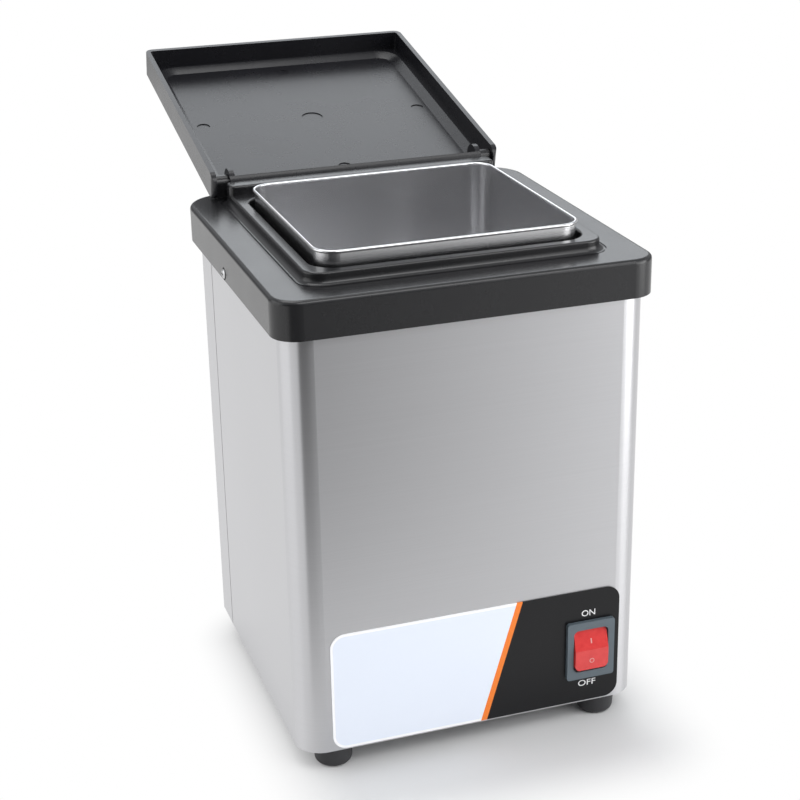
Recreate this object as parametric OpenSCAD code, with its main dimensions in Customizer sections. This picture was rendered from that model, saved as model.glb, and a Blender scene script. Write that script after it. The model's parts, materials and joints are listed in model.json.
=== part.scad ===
// Countertop thermoelectric chiller for bar garnishes: a steel housing on rubber feet, a moulded
// top with a hinged lid, and a lift-out pan in a chilled well. The origin lies under the middle
// of the housing, on the surface that the feet stand on. The lid is drawn fully open.

/* [Housing] */
// Outer width of the steel housing
body_w = 196; // [192:1:230]
// Outer depth of the steel housing
body_d = 182; // [181:1:220]
// Height from the bottom of the housing to the deck of the top
body_h = 256; // [250:1:300]
// Thickness of the housing sheet
sheet_t = 1.0; // [0.8:0.1:1.2]
// Outer radius of the two front bends
front_bend_r = 15; // [8:0.5:16]
// Outer radius of the two rear bends
rear_bend_r = 4; // [2.5:0.5:8]
// Length of the rear cover's side flanges
rear_flange = 27; // [20:1:40]
// Open seam between the wrap and the rear cover
seam_gap = 0.8; // [0.4:0.1:1.5]
// Width of the flanges turned in at the bottom
bottom_flange = 20; // [19:0.5:26]
// Thickness of the base plate
base_t = 1.2; // [1:0.1:2]

/* [Feet] */
// Height of a rubber foot
foot_h = 12; // [10:0.5:16]
// Diameter of a foot
foot_dia = 21.7; // [19:0.1:24]
// Rounding round the bottom of a foot
foot_round = 3.5; // [2:0.1:3.5]
// Distance of a foot's middle from the housing's side
foot_inset_x = 20.5; // [18:0.5:30]
// Distance of a foot's middle from the housing's front or rear
foot_inset_y = 11.5; // [11.5:0.5:14]

/* [Bezel] */
// How far the bezel stands out past each side
side_overhang = 4; // [3:0.5:8]
// How far it stands out past the front
front_overhang = 2.6; // [2.6:0.1:8]
// How far it stands out past the rear, under the hinge
rear_overhang = 24; // [20:0.5:30]
// Height of the outer skirt
skirt_h = 20.5; // [19:0.5:26]
// Wall of the skirt
skirt_t = 2.2; // [1.8:0.1:2.2]
// Thickness of the deck
deck_t = 3; // [2.5:0.1:4]
// Radius of the two outer corners at the front, seen from above
bezel_r = 14; // [11:0.5:18]
// Radius of the two outer corners at the rear
bezel_rear_r = 23; // [16:0.5:26]
// Rounding along the outer top edge
edge_r = 2.5; // [1:0.1:3]
// Height of the curb round the well
curb_h = 6.2; // [5.5:0.1:9]
// Width of the curb's top
curb_w = 6.4; // [5.8:0.1:9]
// Outer corner radius of the curb
curb_r = 10; // [8:0.5:12]
// Fillet along the foot of the curb
curb_foot_r = 3; // [1:0.1:3.5]
// Depth of the hinge rail behind the curb
rail_d = 11.4; // [9:0.1:13]
// Height of the hinge rail above the deck
rail_h = 11.6; // [10.5:0.1:11.6]

/* [Pan and well] */
// Width of the pan at its rim
pan_w = 144; // [130:1:146]
// Length of the pan at its rim, front to rear
pan_l = 140; // [126:1:141]
// Depth of the pan
pan_h = 100; // [60:1:104]
// Sheet of the pan
pan_t = 0.8; // [0.6:0.1:1.2]
// Corner radius of the pan at its rim
pan_r = 12; // [10:0.5:16]
// How much each wall leans in from rim to floor
pan_draft = 2.2; // [0.5:0.1:3]
// Rounding between the pan's walls and its floor
pan_floor_r = 6; // [3:0.5:7]
// Rim of the pan above the deck
pan_rise = 14; // [10:0.1:14]
// Radius of the bead along the rim
pan_bead_r = 0.9; // [0.7:0.1:1.1]
// Clearance between the pan's rim and the well
well_gap = 1.9; // [1.6:0.1:3]
// The well's middle lies this far behind the housing's middle
well_y = 5.5; // [0:0.25:6]
// Wall of the aluminium well
well_t = 1.2; // [0.8:0.1:1.5]
// Floor of the aluminium well
well_floor_t = 2; // [1.5:0.1:3]
// Flange of the well under the deck
well_flange = 8.5; // [8:0.5:9]
// Thickness of the gasket over that flange
gasket_t = 1.5; // [1:0.1:2.5]

/* [Lid] */
// Opening angle of the lid at its stop
lid_open = 167.6; // [150:0.1:175]
// Outer height of the lid
lid_h = 16.3; // [16.3:0.1:18]
// Wall of the lid's skirt
lid_wall = 3; // [2:0.1:3]
// Thickness of the roof's recessed panel
roof_t = 2; // [1.4:0.1:2]
// Thickness of the roof along its border
border_t = 4.6; // [3:0.1:4.8]
// Width of the slope between border and panel
slope_w = 6; // [3:0.5:7]
// Room between the curb and the skirt at each side
lid_side_gap = 4.5; // [3.5:0.1:6]
// Room between the curb and the skirt at the front
lid_front_gap = 1.5; // [0.8:0.1:4]
// Corner radius of the lid seen from above
lid_r = 5; // [3.5:0.5:8]
// The closed lid's lip clears the deck by this much
lid_lift = 0.6; // [0.4:0.1:1]
// Distance of the hinge axis behind the rail
hinge_back = 9.3; // [9.3:0.1:9.6]
// Height of the hinge axis above the deck
hinge_h = 8.7; // [8.7:0.1:9]
// Diameter of a hinge pin
pin_dia = 4; // [3:0.1:4.5]
// Radial running clearance of a hinge pin in the lid
pin_fit = 0.05; // [0.02:0.01:0.1]
// Width of a hinge ear on the deck
ear_w = 7; // [5:0.5:8]
// Diameter of the ejector marks inside the roof
mark_dia = 8; // [4:0.5:9]
// Diameter of the gate mark in the middle of the roof
gate_dia = 13; // [8:0.5:16]

/* [Control plate and switch] */
// Width of the control plate
plate_w = 166; // [120:1:168]
// Height of the control plate
plate_h = 69; // [50:1:90]
// Thickness of the control plate
plate_t = 0.6; // [0.4:0.1:1]
// Corner radius of the control plate
plate_r = 8; // [4:0.5:12]
// Place of the plate's middle, right of the housing's middle
plate_x = 2.5; // [0:0.5:2.5]
// Height of the plate's lower edge above the housing's bottom
plate_z = 1; // [0.5:0.1:6]
// Width of the switch frame
switch_w = 28; // [27:0.5:30]
// Height of the switch frame
switch_h = 35; // [33.5:0.5:38]
// How far the switch frame stands out
switch_t = 2.4; // [1.5:0.1:4]
// Depth of the switch behind the housing's front
switch_d = 24; // [18:0.5:30]
// Distance of the switch's middle from the plate's right edge
switch_inset = 17.5; // [16.5:0.5:24]
// Height of the switch's middle above the housing's bottom
switch_z = 34; // [28:0.5:44]
// Throw of the rocker from ON to OFF
rocker_throw = 18; // [12:1:20]

/* [Cooling] */
// Size of the square axial fan
fan_size = 92; // [88:1:92]
// Height of the fan
fan_t = 25; // [20:1:26]
// Spacing of the fan's corner holes
fan_holes = 82.5; // [78:0.5:82.5]
// Number of fan blades
fan_blades = 7; // [5:1:9]
// Pitch angle of the blades
blade_pitch = 38; // [25:1:50]
// Number of fins on each side of the heat sink's middle fin
half_fins = 8; // [6:1:9]
// Thickness of a fin
fin_t = 1.6; // [1.2:0.1:1.6]
// Height of the fins
fin_h = 40; // [25:1:42]
// Length of the fins, front to rear
fin_l = 104; // [96:1:120]
// Thickness of the heat sink's base
sink_t = 6; // [4:0.5:8]
// Side of the square cold block
block_w = 66; // [62:1:76]
// Height of the cold block
block_h = 21; // [16:0.5:24]
// Side of the thermoelectric module
module_w = 40; // [30:1:42]
// Thickness of the thermoelectric module
module_t = 3.8; // [3.2:0.1:4.5]

/* [Hidden] */
$fn = 48;

// Clearances between pieces
seat_gap = 0.3;
slip_gap = 0.2;
thread_gap = 0.1;

// Screws: width of a head over its shank, and the thread that shows past the last sheet
head_ratio = 1.8;
screw_end = 1;

// Heights, from the surface that the feet stand on
base_z = foot_h;
deck_z = base_z + body_h;
under_z = deck_z - deck_t;
wall_h = under_z - seat_gap - base_z;
floor_z = base_z + sheet_t + slip_gap;
base_top_z = floor_z + base_t;

// Housing
seam_y = body_d / 2 - rear_flange;
inner_x = body_w / 2 - sheet_t;
inner_y = body_d / 2 - sheet_t;
tongue_l = 12;
tongue_joint = 2.2;
tongue_x = inner_x - slip_gap;
rib_h = 7;
rib_t = 2;
cover_screw_x = body_w / 2 - 28;
cover_screw_z = base_z + 14;
cover_screw_d = 3.5;
base_lip_h = 24;
slot_l = 52;
slot_t = 3.4;
slot_rows = 7;
intake_rows = [-64, -56, -48, 40, 48, 56, 64];
intake_l = 54;
intake_t = 4.5;

// Feet and their screws
foot_hole_d = 4.4;
foot_recess_d = 9;
foot_recess_h = foot_h / 2;
foot_screw_d = 4;
nut_w = 7;
nut_h = 3.2;

// Bezel
bezel_w = body_w + 2 * side_overhang;
bezel_d = body_d + front_overhang + rear_overhang;
bezel_y = (rear_overhang - front_overhang) / 2;
curb_edge_r = 1.2;
curb_inner_r = 1.5;
curb_cap = 2;
groove_w = 0.8;
groove_h = 0.5;
rail_edge_r = 1.4;
rail_r = 3;
fill_lap = 2;
brace_xs = [-60, -20, 20, 60];
brace_t = 2;
brace_h = 12;
bezel_screw_d = 3;
bezel_screw_y = well_y + 9;
bezel_screw_z = deck_z - skirt_h + 3.8;
bezel_recess_d = 7;
bezel_recess_t = 0.8;

// Well, curb and rail
open_w = pan_w + 2 * well_gap;
open_l = pan_l + 2 * well_gap;
open_r = pan_r + well_gap;
curb_ow = open_w + 2 * curb_w;
curb_ol = open_l + 2 * curb_w;
rail_y0 = well_y + curb_ol / 2;
rail_y1 = rail_y0 + rail_d;
upstand_l = curb_ol + rail_d;
upstand_y = well_y + rail_d / 2;
flange_top_z = under_z - gasket_t;
well_floor_r = pan_floor_r - 1;
well_screw_d = 2.5;
well_screw_x = open_w / 2 + well_t + head_ratio * well_screw_d / 2 + seat_gap;
well_screw_y = 0.3 * open_l;
well_screw_z = deck_z + curb_h - curb_cap;

// Pan
pan_z = deck_z + pan_rise - pan_h;
well_floor_z = pan_z - seat_gap;
well_z = well_floor_z - well_floor_t;

// Lid in its closed place, measured from the hinge axis
hinge_y = rail_y1 + hinge_back;
hinge_z = deck_z + hinge_h;
lid_w = curb_ow + 2 * (lid_side_gap + lid_wall);
lid_top = lid_lift + lid_h - hinge_h;
lid_lip = lid_lift - hinge_h;
lid_len = hinge_y - (well_y - curb_ol / 2 - lid_front_gap - lid_wall);
lid_edge_r = 1.2;
border_w = 2;
panel_r = 14;
mark_t = 0.5;
mark_x = 0.4 * lid_w;
mark_y = 0.39 * lid_len;
ear_gap = 0.4;
ear_x1 = lid_w / 2 - lid_wall - ear_gap;
ear_x0 = ear_x1 - ear_w;
ear_r = 4.6;
web_t = 3;
web_x1 = ear_x0 - ear_gap;
web_x0 = web_x1 - web_t;
pin_x1 = lid_w / 2 - lid_wall / 3;
barrel_end = 52;
notch_l = (ear_r + seat_gap - (lid_top - border_t) * sin(180 - lid_open)) / cos(180 - lid_open);

// Cold stack, from the well down to the fan
foam_gap = 0.5;
block_z = well_z - block_h;
module_z = block_z - module_t;
sink_z = module_z - sink_t;
fin_pitch = fan_holes / 11;
fin_z = sink_z - fin_h;
fan_z = fin_z - fan_t;
sink_w = 2 * half_fins * fin_pitch + fin_t;
sink_screw_xy = 3.5 * fin_pitch;
sink_screw_d = 3;
block_screw_xy = 18;
block_screw_d = 4;
block_screw_l = 12;
foam_z = block_z + 1;
foam_top_z = under_z - rib_h - 1;
ceramic_t = 0.8;
pellets = 8;
pellet_w = 1.6;
fan_bore_r = fan_size / 2 - 2.4;
fan_tip_gap = 1;
fan_hub_r = 17;
fan_post_d = 4;
fan_fit = 0.05;
fan_plate_t = 3;
fan_strut_w = 4;
fan_screw_d = 4;
fan_screw_grip = 10;
blade_t = 1.6;
blade_h = fan_t - 7;

// Power supply on the base plate
supply_x = -14;
supply_y = -8;
supply_w = 112;
supply_l = 66;
supply_h = 36;
supply_t = 1;
board_t = 1.6;
post_h = 7;
post_d = 6;
post_inset = 6;
supply_screw_d = 3;
board_z = base_top_z + supply_t + post_h;

// Parts on the supply's board: their sizes and their places from its middle
core = [34, 30, 25];
winding = [26, 36, 18];
core_at = [6, 8];
capacitor_d = 16;
capacitor_h = 27;
capacitors_at = [[-32, 12], [-14, 12]];
cooler = [2.5, 44, 24];
cooler_at = [37, 6];
transistor = [5, 10, 16];
transistor_pitch = 14;
filter_coil = [22, 12, 14];
filter_at = [-30, -21];
output_coil = [30, 11, 11];
output_at = [0, -23];
terminal_d = 3.6;
terminal_h = 7;
terminal_pitch = 4.5;
terminals_at = [32, -24];

// Power inlet in the rear cover
inlet_x = 46 - body_w / 2;
inlet_z = base_z + 36;
inlet_w = 27.4;
inlet_h = 19.8;
inlet_d = 18;
inlet_flange_w = 50;
inlet_flange_h = 24;
inlet_flange_t = 2.6;
inlet_wall = 1.6;
inlet_chamfer = 5;
inlet_screw_x = 20;
inlet_screw_d = 3;
inlet_pin = [2, 4, 12];

// Rocker switch
switch_x = plate_x + plate_w / 2 - switch_inset;
switch_cut_w = switch_w - 6;
switch_cut_h = switch_h - 5;
rocker_w = switch_w - 8.4;
rocker_h = switch_h - 11;
rocker_gap = 0.5;
rocker_stem_w = rocker_w - 2.4;
rocker_face = 5.6;
rocker_back = 3;
rocker_axis = 3.9;
rocker_r = 3;
rocker_pin_d = 3;
blade_w = 4.8;
blade_thick = 0.8;
blade_l = 8;

function corner(i) = [(i == 0 || i == 3) ? 1 : -1, i < 2 ? 1 : -1];

// Radius of corner i, where the two rear corners can have one of their own
function corner_r(i, r, rear_r) = (i < 2 && rear_r > 0) ? rear_r : r;

// Rounded rectangle of straight edges and true arcs
module rrect(w, l, r, rear_r = 0) {
    rear = corner_r(0, r, rear_r);
    translate([-w / 2, r - l / 2]) square([w, l - r - rear]);
    translate([r - w / 2, -l / 2]) square([w - 2 * r, l / 2]);
    translate([rear - w / 2, 0]) square([w - 2 * rear, l / 2]);
    at_round_corners(w, l, r, rear_r) circle($r);
}

// Sets its child at the middle of each corner's arc, with the radius in $r
module at_round_corners(w, l, r, rear_r = 0)
    for (i = [0:3]) {
        $r = corner_r(i, r, rear_r);
        translate([corner(i)[0] * (w / 2 - $r), corner(i)[1] * (l / 2 - $r), 0])
            rotate(90 * i) children();
    }

// Copies its child to the four corners of a rectangle
module at_corners(w, l)
    for (i = [0:3]) translate([corner(i)[0] * w / 2, corner(i)[1] * l / 2, 0]) children();

// Slab with rounded corners that stands on z = 0
module slab(w, l, r, t, rear_r = 0) linear_extrude(t) rrect(w, l, r, rear_r);

// Box centred in x and y that stands on z = 0
module post(w, l, h) translate([-w / 2, -l / 2, 0]) cube([w, l, h]);

// Carries a profile round a rounded rectangle. The profile's x runs outwards from the corner's
// middle, so that x = r is the outer edge, and its y is the height.
module sweep_round(w, l, r, rear_r = 0) {
    rear = corner_r(0, r, rear_r);
    at_round_corners(w, l, r, rear_r)
        rotate_extrude(angle = 90) translate([$r - r, 0]) children();
    translate([rear - w / 2, l / 2 - r, 0])
        rotate([90, 0, 90]) linear_extrude(w - 2 * rear) children();
    rotate(180) translate([r - w / 2, l / 2 - r, 0])
        rotate([90, 0, 90]) linear_extrude(w - 2 * r) children();
    mirrored() translate([w / 2 - r, l / 2 - rear, 0])
        rotate([90, 0, 0]) linear_extrude(l - r - rear) children();
}

// Extrudes a profile whose x is the depth and whose y is the height along the width
module along_x(x0, x1) translate([x0, 0, 0]) rotate([90, 0, 90]) linear_extrude(x1 - x0) children();

// Both sides of the part
module mirrored() for (side = [0, 1]) mirror([side, 0, 0]) children();

// Slot with round ends
module slot(l, h) {
    square([l - h, h], center = true);
    for (s = [-1, 1]) translate([s * (l - h) / 2, 0]) circle(d = h);
}

// Wall of a tray seen in section, with a rounding r where it meets the floor. It leans out by
// draft over its height h.
module tray_section(x, h, r, draft) {
    polygon([[0, r], [x - draft, r], [x, h], [0, h]]);
    square([x - draft - r, r]);
    intersection() {
        translate([x - draft - r, r]) circle(r);
        translate([x - draft - r, 0]) square(r);
    }
}

// Screw with a cross recess. The underside of its head is at z = 0 and its shank points down.
module screw(d, length) {
    head_d = head_ratio * d;
    head_h = 0.6 * d;
    translate([0, 0, -length]) cylinder(d = d, h = length);
    difference() {
        union() {
            cylinder(d = head_d, h = head_h * 0.6);
            translate([0, 0, head_h * 0.6])
                cylinder(d1 = head_d, d2 = head_d * 0.7, h = head_h * 0.4);
        }
        for (turn = [0, 90]) rotate(turn)
            translate([0, 0, head_h * 0.6]) post(head_d * 0.6, head_d * 0.15, head_h);
    }
}

// Countersunk screw whose head is flush with z = 0
module flat_screw(d, length) {
    head_d = 2 * d;
    translate([0, 0, -length]) cylinder(d = d, h = length);
    difference() {
        translate([0, 0, -head_d / 4]) cylinder(d1 = d, d2 = head_d, h = head_d / 4);
        for (turn = [0, 90]) rotate(turn)
            translate([0, 0, -head_d / 8]) post(head_d * 0.6, head_d * 0.14, head_d);
    }
}

// Housing sheet seen from above, before it is parted at the seam
module shell_outline(r)
    difference() {
        rrect(body_w, body_d, r);
        rrect(2 * inner_x, 2 * inner_y, r - sheet_t);
    }

// Strip that turns in along the bottom edge
module flange_outline(r)
    difference() {
        rrect(body_w, body_d, r);
        square([body_w - 2 * bottom_flange, body_d - 2 * bottom_flange], center = true);
    }

module in_front_of(y) translate([-body_w, y - 2 * body_d]) square([2 * body_w, 2 * body_d]);
module behind(y) translate([-body_w, y]) square([2 * body_w, 2 * body_d]);

module at_feet()
    at_corners(body_w - 2 * foot_inset_x, body_d - 2 * foot_inset_y) children();

module foot_holes(z, t) at_feet() translate([0, 0, z - 1]) cylinder(d = foot_hole_d, h = t + 2);

module housing_wrap() color("silver")
    difference() {
        translate([0, 0, base_z]) {
            linear_extrude(wall_h) intersection() {
                shell_outline(front_bend_r);
                in_front_of(seam_y);
            }
            linear_extrude(sheet_t) intersection() {
                flange_outline(front_bend_r);
                in_front_of(seam_y);
            }
        }
        foot_holes(base_z, sheet_t);
        translate([switch_x, -body_d / 2, base_z + switch_z - switch_cut_h / 2])
            post(switch_cut_w, 6 * sheet_t, switch_cut_h);
        mirrored() translate([inner_x, bezel_screw_y, bezel_screw_z]) rotate([0, 90, 0])
            cylinder(d = bezel_screw_d + thread_gap, h = 4 * sheet_t, center = true);
    }

module at_cover_screws()
    mirrored() translate([cover_screw_x, body_d / 2, cover_screw_z]) rotate([-90, 0, 0]) children();

// Tongue of the rear cover that slips in behind the edge of the wrap
module tongue() {
    tongue_z = base_z + 8;
    tongue_h = wall_h - 8 - rib_h - 2;
    translate([tongue_x - sheet_t, seam_y - tongue_l, tongue_z])
        cube([sheet_t, tongue_l + seam_gap + tongue_joint, tongue_h]);
    translate([tongue_x - sheet_t, seam_y + seam_gap, tongue_z])
        cube([1.5 * sheet_t, tongue_joint, tongue_h]);
}

// Rows of slots behind the fins of the heat sink
module exhaust_slots()
    for (row = [0:slot_rows - 1]) mirrored()
        translate([slot_l / 2 + 4, inner_y + 3 * sheet_t, fin_z + 2 + row * (fin_h + 2) / slot_rows])
            rotate([90, 0, 0]) linear_extrude(6 * sheet_t) slot(slot_l, slot_t);

module rear_cover() color("silver")
    difference() {
        union() {
            translate([0, 0, base_z]) {
                linear_extrude(wall_h) intersection() {
                    shell_outline(rear_bend_r);
                    behind(seam_y + seam_gap);
                }
                linear_extrude(sheet_t) intersection() {
                    flange_outline(rear_bend_r);
                    behind(seam_y + seam_gap);
                }
            }
            mirrored() tongue();
        }
        foot_holes(base_z, sheet_t);
        exhaust_slots();
        translate([inlet_x, inner_y, inlet_z - inlet_h / 2 - slip_gap])
            post(inlet_w + 2 * slip_gap, 6 * sheet_t, inlet_h + 2 * slip_gap);
        for (s = [-1, 1]) translate([inlet_x + s * inlet_screw_x, inner_y, inlet_z])
            rotate([90, 0, 0])
                cylinder(d = inlet_screw_d + thread_gap, h = 6 * sheet_t, center = true);
        at_cover_screws() cylinder(d = cover_screw_d + slip_gap, h = 6 * sheet_t, center = true);
    }

module cover_screws() color("gainsboro")
    at_cover_screws() screw(cover_screw_d, sheet_t + slip_gap + base_t + screw_end);

module base_plate() color("lightgray")
    difference() {
        union() {
            translate([0, 0, floor_z])
                slab(2 * (tongue_x - sheet_t - slip_gap), 2 * (inner_y - slip_gap),
                    front_bend_r - sheet_t, base_t);
            translate([0, inner_y - slip_gap - base_t / 2, floor_z])
                post(2 * cover_screw_x + 20, base_t, base_lip_h);
        }
        foot_holes(floor_z, base_t);
        for (y = intake_rows) mirrored() translate([intake_l / 2 + 6, y, floor_z - 1])
            linear_extrude(base_t + 2) slot(intake_l, intake_t);
        at_cover_screws()
            cylinder(d = cover_screw_d + thread_gap, h = 8 * sheet_t, center = true);
        at_supply_screws() translate([0, 0, floor_z - 1])
            cylinder(d = supply_screw_d + thread_gap, h = base_t + 2);
    }

module foot(i) color("dimgray")
    translate([corner(i)[0] * (body_w / 2 - foot_inset_x),
        corner(i)[1] * (body_d / 2 - foot_inset_y), 0])
        difference() {
            rotate_extrude() tray_section(foot_dia / 2, foot_h, foot_round, 0.6);
            translate([0, 0, -1]) cylinder(d = foot_recess_d, h = foot_recess_h + 1);
            cylinder(d = foot_hole_d, h = foot_h + 1);
        }

module foot_rear_right() foot(0);
module foot_rear_left() foot(1);
module foot_front_left() foot(2);
module foot_front_right() foot(3);

module foot_screws() color("gainsboro")
    at_feet() translate([0, 0, foot_recess_h]) rotate([180, 0, 0])
        screw(foot_screw_d, base_top_z + nut_h + screw_end - foot_recess_h);

module foot_nuts() color("gainsboro")
    at_feet() translate([0, 0, base_top_z]) difference() {
        cylinder(d = nut_w / cos(30), h = nut_h, $fn = 6);
        translate([0, 0, -1]) cylinder(d = foot_screw_d + thread_gap, h = nut_h + 2);
    }

// Skirt of the bezel in section, with its rounded top edge
module skirt_profile() {
    translate([bezel_r - skirt_t, -skirt_h]) square([skirt_t, skirt_h - edge_r]);
    translate([bezel_r - edge_r - 2 * fill_lap, -deck_t])
        square([2 * fill_lap + edge_r - skirt_t, deck_t - edge_r]);
    translate([bezel_r - edge_r - 2 * fill_lap, -deck_t]) square([2 * fill_lap, deck_t]);
    intersection() {
        translate([bezel_r - edge_r, -edge_r]) circle(edge_r);
        translate([bezel_r - edge_r, -edge_r]) square(edge_r);
    }
}

// Outer side of the curb in section, with a rounded top edge and a fillet at its foot
module curb_profile() {
    translate([curb_r - rail_r, -1]) square([rail_r - curb_edge_r, curb_h + 1]);
    translate([curb_r - rail_r, -1]) square([rail_r, curb_h + 1 - curb_edge_r]);
    translate([curb_r - curb_edge_r, curb_h - curb_edge_r]) circle(curb_edge_r);
    difference() {
        translate([curb_r - 1, -1]) square([curb_foot_r + 1, curb_foot_r + 1]);
        translate([curb_r + curb_foot_r, curb_foot_r]) circle(curb_foot_r);
        translate([curb_r + curb_foot_r, -2]) square([1, curb_foot_r + 2]);
    }
}

// Cut in section that rounds the curb's inner edge
module curb_inner_cut()
    difference() {
        translate([open_r - 1, curb_h - curb_inner_r]) square([curb_inner_r + 1, curb_inner_r + 1]);
        translate([open_r + curb_inner_r, curb_h - curb_inner_r]) circle(curb_inner_r);
    }

// Edge of the rail in section
module rail_profile() {
    translate([0, -1]) square([rail_r, rail_h + 1 - rail_edge_r]);
    translate([0, -1]) square([rail_r - rail_edge_r, rail_h + 1]);
    translate([rail_r - rail_edge_r, rail_h - rail_edge_r]) circle(rail_edge_r);
}

// Curb round the well with the hinge rail behind it
module upstand() {
    translate([0, upstand_y, 0]) {
        sweep_round(curb_ow, upstand_l, curb_r, rail_r) curb_profile();
        translate([0, 0, -1])
            slab(curb_ow - rail_r, upstand_l - rail_r, curb_r - rail_r / 2, curb_h + 1, rail_r / 2);
    }
    translate([0, rail_y0 + rail_d / 2, 0]) {
        sweep_round(curb_ow, rail_d, rail_r) rail_profile();
        translate([0, 0, -1])
            slab(curb_ow - 2 * rail_edge_r, rail_d - 2 * rail_edge_r, rail_r - rail_edge_r, rail_h + 1);
    }
}

module bezel_deck() {
    inset = 2 * (edge_r + fill_lap);
    difference() {
        translate([0, bezel_y, 0]) {
            sweep_round(bezel_w, bezel_d, bezel_r, bezel_rear_r) skirt_profile();
            translate([0, 0, -deck_t])
                slab(bezel_w - inset, bezel_d - inset, bezel_r - inset / 2, deck_t,
                    bezel_rear_r - inset / 2);
        }
        translate([0, upstand_y, 0]) sweep_round(curb_ow, upstand_l, curb_r, rail_r)
            translate([curb_r + curb_foot_r, -groove_h]) square([groove_w, 1]);
    }
}

// Ear that stands on the deck and carries a hinge pin
module ear()
    translate([0, hinge_y, hinge_h]) along_x(ear_x0, ear_x1) {
        circle(ear_r);
        translate([-ear_r, -hinge_h - 1]) square([2 * ear_r, hinge_h + 1]);
    }

// Rib under the deck that finds the inside of the housing
module locating_rib()
    translate([0, 0, -deck_t - rib_h]) linear_extrude(rib_h + 1) difference() {
        rrect(2 * (inner_x - seat_gap), 2 * (inner_y - seat_gap), front_bend_r - sheet_t);
        rrect(2 * (inner_x - seat_gap - rib_t), 2 * (inner_y - seat_gap - rib_t),
            front_bend_r - sheet_t - rib_t);
    }

// Braces under the overhang that carries the hinge
module braces()
    for (x = brace_xs) translate([x, body_d / 2 + seat_gap, -deck_t - brace_h])
        translate([-brace_t / 2, 0, 0])
            cube([brace_t, rear_overhang - seat_gap - skirt_t / 2, brace_h + 1]);

module top_bezel() color([0.16, 0.16, 0.17])
    difference() {
        translate([0, 0, deck_z]) {
            bezel_deck();
            upstand();
            mirrored() ear();
            locating_rib();
            braces();
        }
        translate([0, well_y, under_z - 1]) slab(open_w, open_l, open_r, deck_t + curb_h + 2);
        translate([0, well_y, deck_z]) sweep_round(open_w, open_l, open_r) curb_inner_cut();
        mirrored() translate([0, hinge_y, hinge_z]) rotate([0, 90, 0])
            translate([0, 0, ear_x0 - 1]) cylinder(d = pin_dia, h = ear_w + 2);
        mirrored() translate([body_w / 2, bezel_screw_y, bezel_screw_z]) rotate([0, 90, 0]) {
            cylinder(d = bezel_screw_d + slip_gap, h = side_overhang + 1);
            translate([0, 0, side_overhang - bezel_recess_t])
                cylinder(d = bezel_recess_d, h = bezel_recess_t + 1);
        }
        at_well_screws() translate([0, 0, under_z - 1])
            cylinder(d = well_screw_d + thread_gap, h = well_screw_z + slip_gap - under_z + 1);
    }

module bezel_screws() color("gray")
    mirrored() translate([bezel_w / 2 - bezel_recess_t, bezel_screw_y, bezel_screw_z])
        rotate([0, 90, 0])
            screw(bezel_screw_d, side_overhang - bezel_recess_t + sheet_t + screw_end);

module at_well_screws()
    translate([0, well_y, 0]) at_corners(2 * well_screw_x, 2 * well_screw_y) children();

// Ring between the opening of the well and the edge of its flange
module flange_ring()
    difference() {
        rrect(open_w + 2 * well_flange, open_l + 2 * well_flange, open_r + well_flange);
        rrect(open_w, open_l, open_r);
    }

module well_gasket() color("black")
    difference() {
        translate([0, well_y, flange_top_z]) linear_extrude(gasket_t) flange_ring();
        at_well_screws() translate([0, 0, flange_top_z - 1])
            cylinder(d = well_screw_d + slip_gap, h = gasket_t + 2);
    }

module cold_well() color("lightsteelblue")
    difference() {
        translate([0, well_y, well_z]) {
            height = flange_top_z - well_z;
            sweep_round(open_w + 2 * well_t, open_l + 2 * well_t, open_r + well_t) difference() {
                tray_section(open_r + well_t, height, well_floor_r + well_t, 0);
                translate([0, well_floor_t]) tray_section(open_r, height, well_floor_r, 0);
            }
            post(open_w - 2 * open_r, open_l - 2 * open_r, well_floor_t);
            translate([0, 0, height - well_t]) linear_extrude(well_t) flange_ring();
        }
        at_well_screws() translate([0, 0, flange_top_z - well_t - 1])
            cylinder(d = well_screw_d + slip_gap, h = well_t + 2);
        at_block_screws() flat_screw_hole();
    }

module well_screws() color("gainsboro")
    at_well_screws() translate([0, 0, flange_top_z - well_t]) rotate([180, 0, 0])
        screw(well_screw_d, well_screw_z - flange_top_z + well_t);

// The pan is a drawn tray with leaning walls and a bead along its rim
module garnish_pan() color("gainsboro")
    translate([0, well_y, pan_z]) {
        sweep_round(pan_w, pan_l, pan_r) {
            difference() {
                tray_section(pan_r - pan_bead_r, pan_h - pan_bead_r, pan_floor_r, pan_draft);
                translate([-pan_t, pan_t])
                    tray_section(pan_r - pan_bead_r, pan_h - pan_bead_r, pan_floor_r, pan_draft);
            }
            square([pan_t, pan_t]);
            translate([pan_r - pan_bead_r, pan_h - pan_bead_r]) circle(pan_bead_r);
        }
        post(pan_w - 2 * pan_r, pan_l - 2 * pan_r, pan_t);
    }

module foam_jacket() color("khaki")
    difference() {
        translate([0, 0, foam_z])
            slab(2 * (tongue_x - sheet_t - foam_gap), 2 * (inner_y - foam_gap),
                front_bend_r - sheet_t, foam_top_z - foam_z);
        translate([0, well_y, well_z - seat_gap])
            slab(open_w + 2 * (well_t + seat_gap), open_l + 2 * (well_t + seat_gap),
                open_r + well_t + seat_gap, foam_top_z);
        translate([0, well_y, foam_z - 1])
            post(block_w + 2 * foam_gap, block_w + 2 * foam_gap, block_h + 2);
    }

module at_block_screws()
    translate([0, well_y, well_floor_z]) at_corners(2 * block_screw_xy, 2 * block_screw_xy)
        children();

module at_sink_screws()
    translate([0, well_y, 0]) at_corners(2 * sink_screw_xy, 2 * sink_screw_xy) children();

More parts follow.
